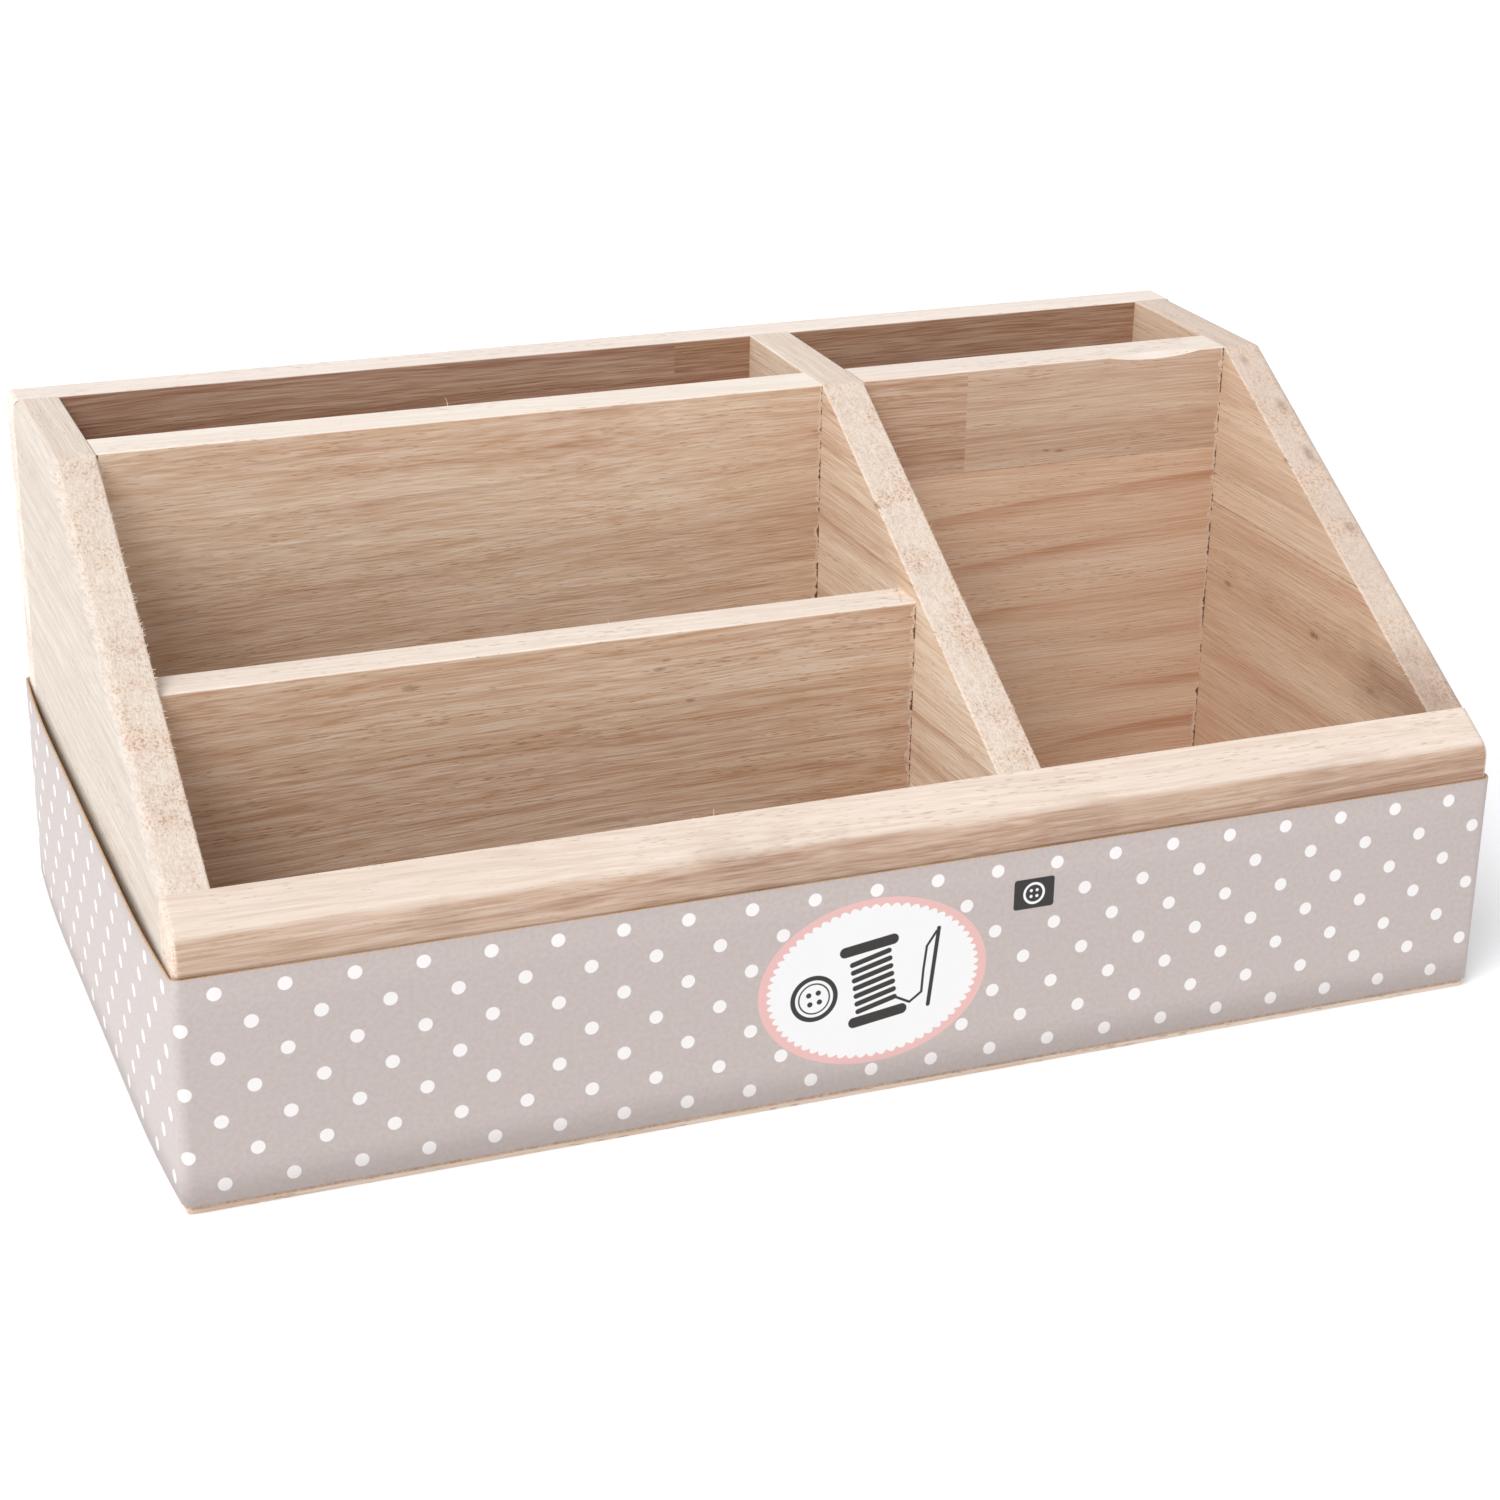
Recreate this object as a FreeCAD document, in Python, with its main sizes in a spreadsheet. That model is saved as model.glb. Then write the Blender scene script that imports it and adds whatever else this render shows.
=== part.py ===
import FreeCAD, Part

import os

import Sketcher
from FreeCAD import Vector

# A desk box for sewing notions: an open-topped wooden case with sloping ends,
# glued up from sawn boards on a three-ply bottom, inside a loose printed card
# sleeve. The origin is the centre of the underside. +X runs along the length
# to the right, +Y to the tall back and +Z up. Millimetres throughout.

# Driving dimensions. Each row becomes one cell of the sheet, with its alias.
DIMENSIONS = [
    ("box_length", 300.0, "outside length of the wooden case"),
    ("box_depth", 170.0, "outside depth"),
    ("box_height", 125.0, "full height, at the back"),
    ("board", 10.5, "thickness of the sawn boards"),
    ("rear_board", 11.5, "thickness of the tall rear dividers"),
    ("slope_angle", 30.0, "slope of the ends, the centre divider and the front rail"),
    ("rear_front", 27.5, "front face of the rear dividers, where the slope starts"),
    ("middle_front", -29.5, "front face of the low middle divider"),
    ("middle_top", 90.0, "top of the middle divider"),
    ("centre_left", 31.5, "left face of the centre divider"),
    ("ply", 1.0, "thickness of one veneer of the bottom panel"),
    ("ply_corner", 1.2, "corner radius of the bottom panel"),
    ("end_joint", 85.0, "glue line across the right end"),
    ("rear_joint", 99.5, "glue line along the rear right divider"),
    ("rear_butt", 69.5, "butt joint in the upper strip of the rear right divider"),
    ("back_joint", 117.0, "glue line along the back board"),
    ("back_butt", 11.5, "butt joint in the upper strip of the back board"),
    ("rail_round", 5.0, "rounding of the front rail"),
    ("outer_round", 2.5, "rounding of the outer arrises of the ends"),
    ("front_end_round", 1.6, "rounding of the front board's ends"),
    ("back_round", 1.5, "rounding of the back board's outer arrises"),
    ("arris", 0.5, "softened inner arrises"),
    ("card", 0.5, "thickness of the sleeve card"),
    ("sleeve_low", 2.2, "lower edge of the sleeve"),
    ("sleeve_high", 52.8, "upper edge of the sleeve"),
    ("sleeve_gap", 0.4, "clearance of the sleeve at the front and at its corners"),
    ("sleeve_back_gap", 0.9, "clearance at the back, which leaves room for the glue flap"),
    ("sleeve_bulge", 1.3, "how far the sleeve's ends bow out beyond its corners"),
    ("sleeve_bow", 40.0, "length of the bowed stretch beside each corner"),
    ("sleeve_corner", 2.0, "inner radius of the sleeve's folds"),
    ("flap_width", 15.0, "width of the glue flap"),
    ("brad_radius", 0.6, "shank radius of a brad"),
    ("brad_head_radius", 1.0, "head radius of a brad"),
    ("brad_head", 0.6, "head thickness of a brad"),
    ("brad_length", 18.0, "length of a brad"),
    ("scallop_x", 120.0, "middle of a sanding dip in the rear right divider's front arris"),
    ("scallop_radius", 100.0, "radius of that dip"),
    ("scallop_depth", 1.0, "depth of that dip"),
]

# Where the brads stand, along the boards that they hold.
BOTTOM_BRADS_X = (-110.0, -36.0, 72.0, 118.0)
BOTTOM_BRADS_Y = (-38.0, 50.0)
FRONT_BRADS_Z = (22.0, 44.0)
BACK_BRADS_Z = (22.0, 62.0, 102.0)

# Expressions that several boards share, in the terms of the sheet's aliases.
FLOOR = "3 * Dims.ply"
INSIDE_DEPTH = "(Dims.box_depth - 2 * Dims.board)"
WALL_HEIGHT = f"(Dims.box_height - {FLOOR})"
BEND = "(Dims.rear_front + Dims.box_depth / 2 - Dims.board)"
SLOPE_FOOT = f"({WALL_HEIGHT} - {BEND} * tan(Dims.slope_angle))"
LEFT = "-Dims.box_length / 2"
FRONT = "-Dims.box_depth / 2"
LEFT_INSIDE = f"({LEFT} + Dims.board)"
RIGHT_INSIDE = "(Dims.box_length / 2 - Dims.board)"
CENTRE_RIGHT = "(Dims.centre_left + Dims.board)"
BACK_FACE = "(Dims.box_depth / 2 - Dims.board)"

TOUCH = 1e-3

doc = FreeCAD.newDocument("sewing_box")
dims = doc.addObject("Spreadsheet::Sheet", "Dims")
for row, (alias, size, meaning) in enumerate(DIMENSIONS, start=1):
    dims.set(f"A{row}", meaning)
    dims.set(f"B{row}", str(size))
    dims.setAlias(f"B{row}", alias)
doc.recompute()


def value(expression):
    """The number that an expression on the sheet gives now."""
    result = dims.evalExpression(expression)
    return float(getattr(result, "Value", result))


def new_body(label, place):
    """A body at a place that is three expressions."""
    body = doc.addObject("PartDesign::Body", label)
    body.Label = label
    for axis, expression in zip("xyz", place):
        body.setExpression(f"Placement.Base.{axis}", expression)
    return body


def origin_plane(body, role):
    """One of the body's own origin planes."""
    return next(feature for feature in body.Origin.OriginFeatures if feature.Role == role)


def flat_sketch(body, role, name):
    """An empty sketch on one of the body's origin planes."""
    sketch = body.newObject("Sketcher::SketchObject", name)
    sketch.AttachmentSupport = (origin_plane(body, role), [""])
    sketch.MapMode = "FlatFace"
    return sketch


def pin_vertex(sketch, curve, end, across, upward):
    """Hold one vertex of a sketch at a place given by two expressions."""
    for kind, axis, expression in (("DistanceX", -2, across), ("DistanceY", -1, upward)):
        number = value(expression)
        if abs(number) < TOUCH:
            sketch.addConstraint(Sketcher.Constraint("PointOnObject", curve, end, axis))
            continue
        index = sketch.addConstraint(Sketcher.Constraint(kind, -1, 1, curve, end, number))
        sketch.setExpression(f"Constraints[{index}]", expression)


def closed_outline(sketch, corners):
    """Straight lines through the corners, each corner held by its expressions."""
    points = [Vector(value(across), value(upward), 0) for across, upward in corners]
    count = len(points)
    for index, start in enumerate(points):
        sketch.addGeometry(Part.LineSegment(start, points[(index + 1) % count]), False)
    for index in range(count):
        following = (index + 1) % count
        sketch.addConstraint(Sketcher.Constraint("Coincident", index, 2, following, 1))
    for index, (across, upward) in enumerate(corners):
        pin_vertex(sketch, index, 1, across, upward)


def pad(body, sketch, length):
    """A solid of the sketch along its plane's normal."""
    solid = body.newObject("PartDesign::Pad", f"{body.Name}_pad")
    solid.Profile = sketch
    solid.setExpression("Length", length)
    sketch.Visibility = False
    doc.recompute()
    return solid


def middle_of(edge):
    """The point half way along an edge."""
    return edge.valueAt((edge.FirstParameter + edge.LastParameter) / 2)


def round_edges(body, radius, picked):
    """Fillet those edges of the body's tip whose middle point is picked."""
    base = body.Tip
    numbered = enumerate(base.Shape.Edges, start=1)
    names = [f"Edge{number}" for number, edge in numbered if picked(middle_of(edge))]
    if not names:
        raise RuntimeError(f"{body.Label}: no edge to round")
    fillet = body.newObject("PartDesign::Fillet", f"{body.Name}_round")
    fillet.Base = (base, names)
    fillet.setExpression("Radius", radius)
    doc.recompute()


def near(number, target):
    """Whether a coordinate lies on a plane."""
    return abs(number - target) < TOUCH


def board_along_x(label, corners, place, length):
    """A board whose YZ outline is padded along X."""
    body = new_body(label, place)
    sketch = flat_sketch(body, "YZ_Plane", f"{body.Name}_outline")
    closed_outline(sketch, corners)
    pad(body, sketch, length)
    return body


def plain_board(label, place, length, thickness, height):
    """A rectangular board standing on edge along X."""
    corners = [("0", "0"), (thickness, "0"), (thickness, height), ("0", height)]
    return board_along_x(label, corners, place, length)


def sloping_corners(low="0", high=WALL_HEIGHT):
    """The YZ outline of a sloping board, between two heights above the floor."""
    corners = [(INSIDE_DEPTH, low), (INSIDE_DEPTH, high)]
    if value(high) > value(SLOPE_FOOT):
        corners.append((slope_at(high), high))
    else:
        corners.append(("0", high))
    if value(low) > value(SLOPE_FOOT):
        corners.append((slope_at(low), low))
    else:
        corners += [("0", SLOPE_FOOT), ("0", low)]
    return corners


def slope_at(height):
    """How far back the slope reaches a height, from the front board."""
    return f"(({height}) - {SLOPE_FOOT}) / tan(Dims.slope_angle)"


def on_top_line(point):
    """Whether a point of a sloping board is on its flat top or on its slope."""
    on_flat = near(point.z, value(WALL_HEIGHT))
    slope_height = value(SLOPE_FOOT) + point.y * value("tan(Dims.slope_angle)")
    return on_flat or near(point.z, slope_height)


def sloping_board(label, left, outer_side=None, low="0", high=WALL_HEIGHT):
    """An end or the centre divider. outer_side is the local X of an end's outer face."""
    place = (left, f"{FRONT} + Dims.board", FLOOR)
    body = board_along_x(label, sloping_corners(low, high), place, "Dims.board")
    sides = {0.0: "Dims.arris", value("Dims.board"): "Dims.arris"}
    if outer_side is not None:
        sides[outer_side] = "Dims.outer_round"
    for side, radius in sorted(sides.items(), key=lambda pair: -value(pair[1])):
        round_edges(body, radius, lambda middle: near(middle.x, side) and on_top_line(middle))
    return body


def front_board():
    """The front board. Its bevelled top is the rail, and carries on the slope."""
    rail_drop = "Dims.board * tan(Dims.slope_angle)"
    corners = [
        ("0", "0"),
        ("Dims.board", "0"),
        ("Dims.board", SLOPE_FOOT),
        ("0", f"{SLOPE_FOOT} - {rail_drop}"),
    ]
    body = board_along_x("front_blank", corners, (LEFT, FRONT, FLOOR), "Dims.box_length")
    rail_front = value(f"{SLOPE_FOOT} - {rail_drop}")
    round_edges(body, "Dims.rail_round", lambda middle: near(middle.y, 0) and near(middle.z, rail_front))
    ends = (0.0, value("Dims.box_length"))
    inner_face = value("Dims.board")

    def outside_arris(middle):
        on_end = any(near(middle.x, end) for end in ends)
        return on_end and middle.y < inner_face - TOUCH and middle.z > TOUCH

    round_edges(body, "Dims.front_end_round", outside_arris)
    return body


def back_stave(label, left, right, low, high):
    """A stave of the back board. The arrises between its outside faces are rounded."""
    length = f"({right}) - ({left})"
    height = f"({high}) - ({low})"
    body = plain_board(label, (left, BACK_FACE, low), length, "Dims.board", height)
    reaches_top = near(value(high), value("Dims.box_height"))
    ends = []
    if near(value(left), value(LEFT)):
        ends.append(0.0)
    if near(value(right), value("Dims.box_length / 2")):
        ends.append(value(length))

    def outside_arris(middle):
        at_back = near(middle.y, value("Dims.board"))
        at_top = reaches_top and near(middle.z, value(height))
        at_end = any(near(middle.x, end) for end in ends)
        return at_back + at_top + at_end >= 2

    round_edges(body, "Dims.back_round", outside_arris)
    if reaches_top:
        tall = value(height)
        round_edges(body, "Dims.arris", lambda middle: near(middle.y, 0) and near(middle.z, tall))
    return body


def divider(label, left, right, front, thickness, low, high, open_above=True):
    """A divider or a stave of one. Its top arrises are softened where it is open above."""
    height = f"({high}) - ({low})"
    body = plain_board(label, (left, front, low), f"({right}) - ({left})", thickness, height)
    if open_above:
        tall = value(height)
        for face in (0.0, value(thickness)):
            round_edges(body, "Dims.arris", lambda middle: near(middle.y, face) and near(middle.z, tall))
    return body


def sanding_dip(body, left, height):
    """A shallow scallop across a stave's upper front arris, cut by a cylinder tilted 45 degrees."""
    dip = body.newObject("PartDesign::SubtractiveCylinder", "sanding_dip")
    reach = "(Dims.scallop_radius - Dims.scallop_depth) * sqrt(0.5)"
    dip.setExpression("Radius", "Dims.scallop_radius")
    dip.setExpression("Height", "2 * Dims.rear_board")
    dip.Placement.Rotation = FreeCAD.Rotation(Vector(1, 0, 0), -45)
    dip.setExpression("Placement.Base.x", f"Dims.scallop_x - ({left})")
    dip.setExpression("Placement.Base.y", f"-{reach} - Dims.rear_board * sqrt(0.5)")
    dip.setExpression("Placement.Base.z", f"{height} + {reach} - Dims.rear_board * sqrt(0.5)")
    doc.recompute()


def ply_sheet(label, level):
    """One veneer of the bottom panel, its corners rounded."""
    body = new_body(label, (LEFT, FRONT, f"{level} * Dims.ply"))
    sketch = flat_sketch(body, "XY_Plane", f"{body.Name}_outline")
    far_corner = ("Dims.box_length", "Dims.box_depth")
    corners = [("0", "0"), ("Dims.box_length", "0"), far_corner, ("0", "Dims.box_depth")]
    closed_outline(sketch, corners)
    pad(body, sketch, "Dims.ply")
    half_ply = value("Dims.ply / 2")
    round_edges(body, "Dims.ply_corner", lambda middle: near(middle.z, half_ply))
    return body


def brad(foot, direction):
    """One headed brad, its head flush at foot and its shank along direction."""
    head = Part.makeCylinder(value("Dims.brad_head_radius"), value("Dims.brad_head"), foot, direction)
    shank = Part.makeCylinder(value("Dims.brad_radius"), value("Dims.brad_length"), foot, direction)
    return head.fuse(shank).removeSplitter()


def brad_group(label, feet, direction):
    """A group of brads that point the same way, as separate solids."""
    group = doc.addObject("Part::Feature", label)
    group.Label = label
    group.Shape = Part.makeCompound([brad(foot, direction) for foot in feet])
    group.Placement = FreeCAD.Placement()
    return group


def brad_feet():
    """Where the brads start, under the bottom, in the front and in the back."""
    half_board = value("Dims.board / 2")
    half_length = value("Dims.box_length / 2")
    half_depth = value("Dims.box_depth / 2")
    centre = value("Dims.centre_left") + half_board
    end_lines = [-half_length + half_board, centre, half_length - half_board]
    wall_lines = [half_board - half_depth, half_depth - half_board]
    under = [Vector(x, y, 0) for x in BOTTOM_BRADS_X for y in wall_lines]
    under += [Vector(x, y, 0) for x in end_lines for y in BOTTOM_BRADS_Y]
    front = [Vector(x, -half_depth, z) for x in end_lines for z in FRONT_BRADS_Z]
    back = [Vector(x, half_depth, z) for x in end_lines for z in BACK_BRADS_Z]
    return under, front, back


def pierced(label, blank, brads):
    """A blank with the holes that its brads fill."""
    piece = doc.addObject("Part::Cut", label)
    piece.Label = label
    piece.Base = blank
    piece.Tool = brads
    piece.Refine = True
    doc.recompute()
    return piece


def sleeve_outline(sketch, grow):
    """The sleeve's plan: straight front and back, and ends that bow out."""
    corner_x = f"Dims.box_length / 2 + Dims.sleeve_gap + {grow}"
    bowed_x = f"({corner_x} + Dims.sleeve_bulge)"
    front_y = f"({FRONT} - Dims.sleeve_gap - {grow})"
    back_y = f"(Dims.box_depth / 2 + Dims.sleeve_back_gap + {grow})"
    bow_front = f"({front_y} + Dims.sleeve_bow)"
    bow_back = f"({back_y} - Dims.sleeve_bow)"
    corners = [
        (f"-({corner_x})", front_y),
        (corner_x, front_y),
        (bowed_x, bow_front),
        (bowed_x, bow_back),
        (corner_x, back_y),
        (f"-({corner_x})", back_y),
        (f"-{bowed_x}", bow_back),
        (f"-{bowed_x}", bow_front),
    ]
    points = [Vector(value(across), value(upward), 0) for across, upward in corners]
    bowed_curves = (1, 3, 5, 7)
    smooth_points = (2, 3, 6, 7)
    for index, start in enumerate(points):
        end = points[(index + 1) % len(points)]
        curve = bowed_arc(start, end) if index in bowed_curves else Part.LineSegment(start, end)
        sketch.addGeometry(curve, False)
    for index, point in enumerate(points):
        before = (index - 1) % len(points)
        kind = "Tangent" if index in smooth_points else "Coincident"
        ends = (before, end_at(sketch, before, point), index, end_at(sketch, index, point))
        sketch.addConstraint(Sketcher.Constraint(kind, *ends))
    for index, (across, upward) in enumerate(corners):
        pin_vertex(sketch, index, end_at(sketch, index, points[index]), across, upward)


def bowed_arc(start, end):
    """An arc between a corner and the straight middle of an end, tangent to Y there."""
    straight = start if abs(start.x) > abs(end.x) else end
    corner = end if straight is start else start
    rise = abs(straight.x - corner.x)
    run = abs(straight.y - corner.y)
    radius = (rise * rise + run * run) / (2 * rise)
    side = 1 if straight.x > 0 else -1
    centre = Vector(straight.x - side * radius, straight.y, 0)
    half_way = (straight + corner) / 2 - centre
    middle = centre + half_way * (radius / half_way.Length)
    return Part.Arc(start, middle, end)


def end_at(sketch, index, point):
    """Which end of a sketch curve lies at a point: 1 is its start and 2 its end."""
    return 1 if sketch.getPoint(index, 1).distanceToPoint(point) < 0.01 else 2


def card_sleeve():
    """The loose sleeve: a folded strip of card with a glue flap inside its back."""
    body = new_body("card_sleeve", ("0", "0", "Dims.sleeve_low"))
    height = "Dims.sleeve_high - Dims.sleeve_low"
    outer = flat_sketch(body, "XY_Plane", "sleeve_outer")
    sleeve_outline(outer, "Dims.card")
    pad(body, outer, height)
    corner_x = value("Dims.box_length / 2 + Dims.sleeve_gap")

    half_height = value(height) / 2

    def round_folds(radius, grow):
        fold_x = corner_x + grow
        round_edges(body, radius, lambda middle: near(abs(middle.x), fold_x) and near(middle.z, half_height))

    inner = flat_sketch(body, "XY_Plane", "sleeve_inner")
    sleeve_outline(inner, "0")
    hollow = body.newObject("PartDesign::Pocket", "sleeve_hollow")
    hollow.Profile = inner
    hollow.Type = "ThroughAll"
    hollow.Reversed = True
    doc.recompute()
    round_folds("Dims.sleeve_corner", 0.0)
    round_folds("Dims.sleeve_corner + Dims.card", value("Dims.card"))
    flap = body.newObject("PartDesign::AdditiveBox", "glue_flap")
    flap.setExpression("Length", "Dims.flap_width")
    flap.setExpression("Width", "2 * Dims.card")
    flap.setExpression("Height", height)
    flap.setExpression("Placement.Base.x", "Dims.box_length / 2 - Dims.sleeve_corner - Dims.flap_width")
    flap.setExpression("Placement.Base.y", "Dims.box_depth / 2 + Dims.sleeve_back_gap - Dims.card")
    doc.recompute()
    return body


def case_pieces():
    """The wooden case, its brads and the plies of its bottom."""
    end_joint = f"(Dims.end_joint - {FLOOR})"
    right = "Dims.box_length / 2"
    right_end = (RIGHT_INSIDE, value("Dims.board"))
    under, front, back = brad_feet()
    brads = [
        brad_group("bottom_brads", under, Vector(0, 0, 1)),
        brad_group("front_brads", front, Vector(0, 1, 0)),
        brad_group("back_brads", back, Vector(0, -1, 0)),
    ]
    every_brad = doc.addObject("Part::Compound", "every_brad")
    every_brad.Links = brads
    doc.recompute()

    blanks = {
        "front_board": front_board(),
        "back_lower_stave": back_stave("back_blank", LEFT, right, FLOOR, "Dims.back_joint"),
        "left_end": sloping_board("left_blank", LEFT, 0.0),
        "right_end_lower_stave": sloping_board("right_lower_blank", *right_end, high=end_joint),
        "right_end_upper_stave": sloping_board("right_upper_blank", *right_end, low=end_joint),
        "centre_divider": sloping_board("centre_blank", "Dims.centre_left"),
        "bottom_ply_lower": ply_sheet("ply_lower_blank", 0),
        "bottom_ply_core": ply_sheet("ply_core_blank", 1),
        "bottom_ply_upper": ply_sheet("ply_upper_blank", 2),
    }
    pieces = [pierced(label, blank, every_brad) for label, blank in blanks.items()]
    back_strip = ("Dims.back_joint", "Dims.box_height")
    pieces += [
        back_stave("back_upper_left_stave", LEFT, "Dims.back_butt", *back_strip),
        back_stave("back_upper_right_stave", "Dims.back_butt", right, *back_strip),
    ]
    return pieces + brads


def divider_pieces():
    """The dividers along X. The rear right one is glued up from three staves."""
    left_bay = (LEFT_INSIDE, "Dims.centre_left")
    rear = ("Dims.rear_front", "Dims.rear_board")
    full = (FLOOR, "Dims.box_height")
    lower = (FLOOR, "Dims.rear_joint")
    upper = ("Dims.rear_joint", "Dims.box_height")
    dipped = divider("rear_right_upper_right_stave", "Dims.rear_butt", RIGHT_INSIDE, *rear, *upper)
    sanding_dip(dipped, "Dims.rear_butt", "Dims.box_height - Dims.rear_joint")
    return [
        divider("rear_left_divider", *left_bay, *rear, *full),
        divider("middle_divider", *left_bay, "Dims.middle_front", "Dims.board", FLOOR, "Dims.middle_top"),
        divider("rear_right_lower_stave", CENTRE_RIGHT, RIGHT_INSIDE, *rear, *lower, open_above=False),
        divider("rear_right_upper_left_stave", CENTRE_RIGHT, "Dims.rear_butt", *rear, *upper),
        dipped,
    ]


def check(pieces):
    """Stop on a failed object or on a piece that isn't a sound solid."""
    doc.recompute()
    for item in doc.Objects:
        if "Invalid" in item.State or "Error" in item.State:
            raise RuntimeError(f"{item.Label}: {item.State}")
    for piece in pieces:
        shape = piece.Shape
        if shape.isNull() or not shape.isValid() or not shape.Solids:
            raise RuntimeError(f"{piece.Label}: not a sound solid")


def write(pieces):
    """Write each piece to its own file, and list its size."""
    os.makedirs("parts", exist_ok=True)
    for piece in pieces:
        piece.Shape.exportStep(f"parts/{piece.Label}.step")
        box = piece.Shape.optimalBoundingBox()
        spans = (box.XMin, box.XMax, box.YMin, box.YMax, box.ZMin, box.ZMax)
        corners = " ".join(f"{number:7.1f}" for number in spans)
        print(f"{piece.Label:30s} {len(piece.Shape.Solids):3d} {piece.Shape.Volume:10.1f} mm3 {corners}")


all_pieces = case_pieces() + divider_pieces() + [card_sleeve()]
check(all_pieces)
write(all_pieces)
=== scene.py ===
# %% [markdown]
# # An open desk box for sewing notions
# The real thing is a low case of sawn paulownia boards with five compartments, a three-ply bottom
# and a loose card sleeve, printed grey with white dots, round its lower half.
# The boards' shapes come ready made from the CAD model, which stays as it is. This lesson gives
# them their wood, makes the sleeve and the torn fibres as finer pieces, and lights a plain studio.

# %% Load the CAD model
import math
import random

import bmesh
import bpy
from mathutils import Matrix, Quaternion, Vector


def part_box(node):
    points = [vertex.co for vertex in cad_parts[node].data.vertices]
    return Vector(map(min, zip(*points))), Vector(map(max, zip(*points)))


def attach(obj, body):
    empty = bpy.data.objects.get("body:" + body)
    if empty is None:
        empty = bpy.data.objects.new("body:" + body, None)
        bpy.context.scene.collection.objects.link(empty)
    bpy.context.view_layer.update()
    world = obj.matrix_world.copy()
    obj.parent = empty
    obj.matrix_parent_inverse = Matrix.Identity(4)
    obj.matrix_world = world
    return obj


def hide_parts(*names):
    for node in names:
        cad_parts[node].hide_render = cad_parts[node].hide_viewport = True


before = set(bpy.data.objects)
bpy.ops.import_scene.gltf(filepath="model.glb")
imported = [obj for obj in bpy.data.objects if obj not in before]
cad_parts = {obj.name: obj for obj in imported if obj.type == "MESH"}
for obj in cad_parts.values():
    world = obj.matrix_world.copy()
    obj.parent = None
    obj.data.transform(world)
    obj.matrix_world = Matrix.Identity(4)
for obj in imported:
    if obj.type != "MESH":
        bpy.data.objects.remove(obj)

MM = 0.001
scene = bpy.context.scene
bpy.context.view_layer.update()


# %% [markdown]
# ## The camera
# The box is seen from its front left and a little from above, from three quarters of a metre.
# A camera could be pointed with a constraint, but a direction and a small roll say more plainly
# where it stands, so its turn is worked out from three angles.

# %% Stand the camera
def look_from(azimuth, elevation, roll):
    """The camera's turn, where azimuth 0 looks along +Y. All three are in degrees."""
    turn, tip = math.radians(azimuth), math.radians(elevation)
    backward = Vector((math.sin(turn) * math.cos(tip), -math.cos(turn) * math.cos(tip),
                       math.sin(tip)))
    level = (-backward).to_track_quat("-Z", "Y")
    return level @ Quaternion((0, 0, 1), math.radians(roll))


lens = bpy.data.cameras.new("studio_camera")
lens.lens = 73.9
lens.sensor_width = 36.0
camera = bpy.data.objects.new("studio_camera", lens)
camera.location = Vector((-243.8, -620.9, 326.4)) * MM
camera.rotation_mode = "QUATERNION"
camera.rotation_quaternion = look_from(-21.725, 22.744, 0.914)
scene.collection.objects.link(camera)
scene.camera = camera
print("camera distance in mm:", round(camera.location.length / MM))


# %% [markdown]
# ## Colours and nodes
# Colours are chosen as the hex values of a screen, which are not proportional to light, so one
# function turns them to linear values. A second one adds a shader node with its settings and
# links, which keeps each material short enough to read.

# %% Two helpers for every material
def paint(hex_colour):
    """A screen colour such as "#c8bdb9" as linear red, green, blue and alpha."""
    channels = [int(hex_colour[i : i + 2], 16) / 255 for i in (1, 3, 5)]
    linear = [c / 12.92 if c <= 0.04045 else ((c + 0.055) / 1.055) ** 2.4 for c in channels]
    return (*linear, 1.0)


def add(tree, kind, *values, **named):
    """Add a node. Values fill its inputs in order, names with a capital fill inputs by name,
    and the other names are the node's settings."""
    node = tree.nodes.new("ShaderNode" + kind)
    for name, choice in named.items():
        if name[0].islower():
            setattr(node, name, choice)
    inputs = [socket for socket in node.inputs if socket.enabled]
    by_name = {socket.name.replace(" ", "_"): socket for socket in inputs}
    filled = list(zip(inputs, values))
    filled += [(by_name[name], source) for name, source in named.items() if name[0].isupper()]
    for socket, source in filled:
        if isinstance(source, bpy.types.Node):
            source = next(output for output in source.outputs if output.enabled)
        if isinstance(source, bpy.types.NodeSocket):
            tree.links.new(source, socket)
        else:
            socket.default_value = source
    return node


def new_material(name):
    """A material with an empty node tree."""
    material = bpy.data.materials.new(name)
    material.use_nodes = True
    material.node_tree.nodes.clear()
    return material, material.node_tree


print("helpers ready:", paint.__name__, add.__name__)


# %% [markdown]
# ## The studio
# The box stands on a plain white table under very soft light. A high softbox on the left makes
# the top edges the brightest, a low and wide one lights the left side, and a weak fill in front
# and an even white room do the rest. Area lamps would do it too, but a sun lamp with a wide angle
# has the same strength all over the box. The table glows a little, so that it stays white.
# The Standard view keeps white card and white paper white, where a film-like one greys them.

# %% Room light and softboxes
scene.view_settings.view_transform = "Standard"

room = bpy.data.worlds.new("white_room")
room.use_nodes = True
room.node_tree.nodes.clear()
sky = add(room.node_tree, "Background", Color=paint("#fbfcff"), Strength=0.62)
add(room.node_tree, "OutputWorld", Surface=sky)
scene.world = room


def distant_light(name, toward, spread, strength, tint):
    """A sun lamp as wide as a softbox. Toward points from the box to the lamp, and spread is
    the angle that the lamp fills, in degrees."""
    lamp = bpy.data.lights.new(name, "SUN")
    lamp.color = paint(tint)[:3]
    lamp.angle = math.radians(spread)
    lamp.energy = strength
    stand = bpy.data.objects.new(name, lamp)
    stand.location = Vector(toward).normalized()
    stand.rotation_mode = "QUATERNION"
    stand.rotation_quaternion = Vector(toward).to_track_quat("Z", "Y")
    scene.collection.objects.link(stand)
    return stand


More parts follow.
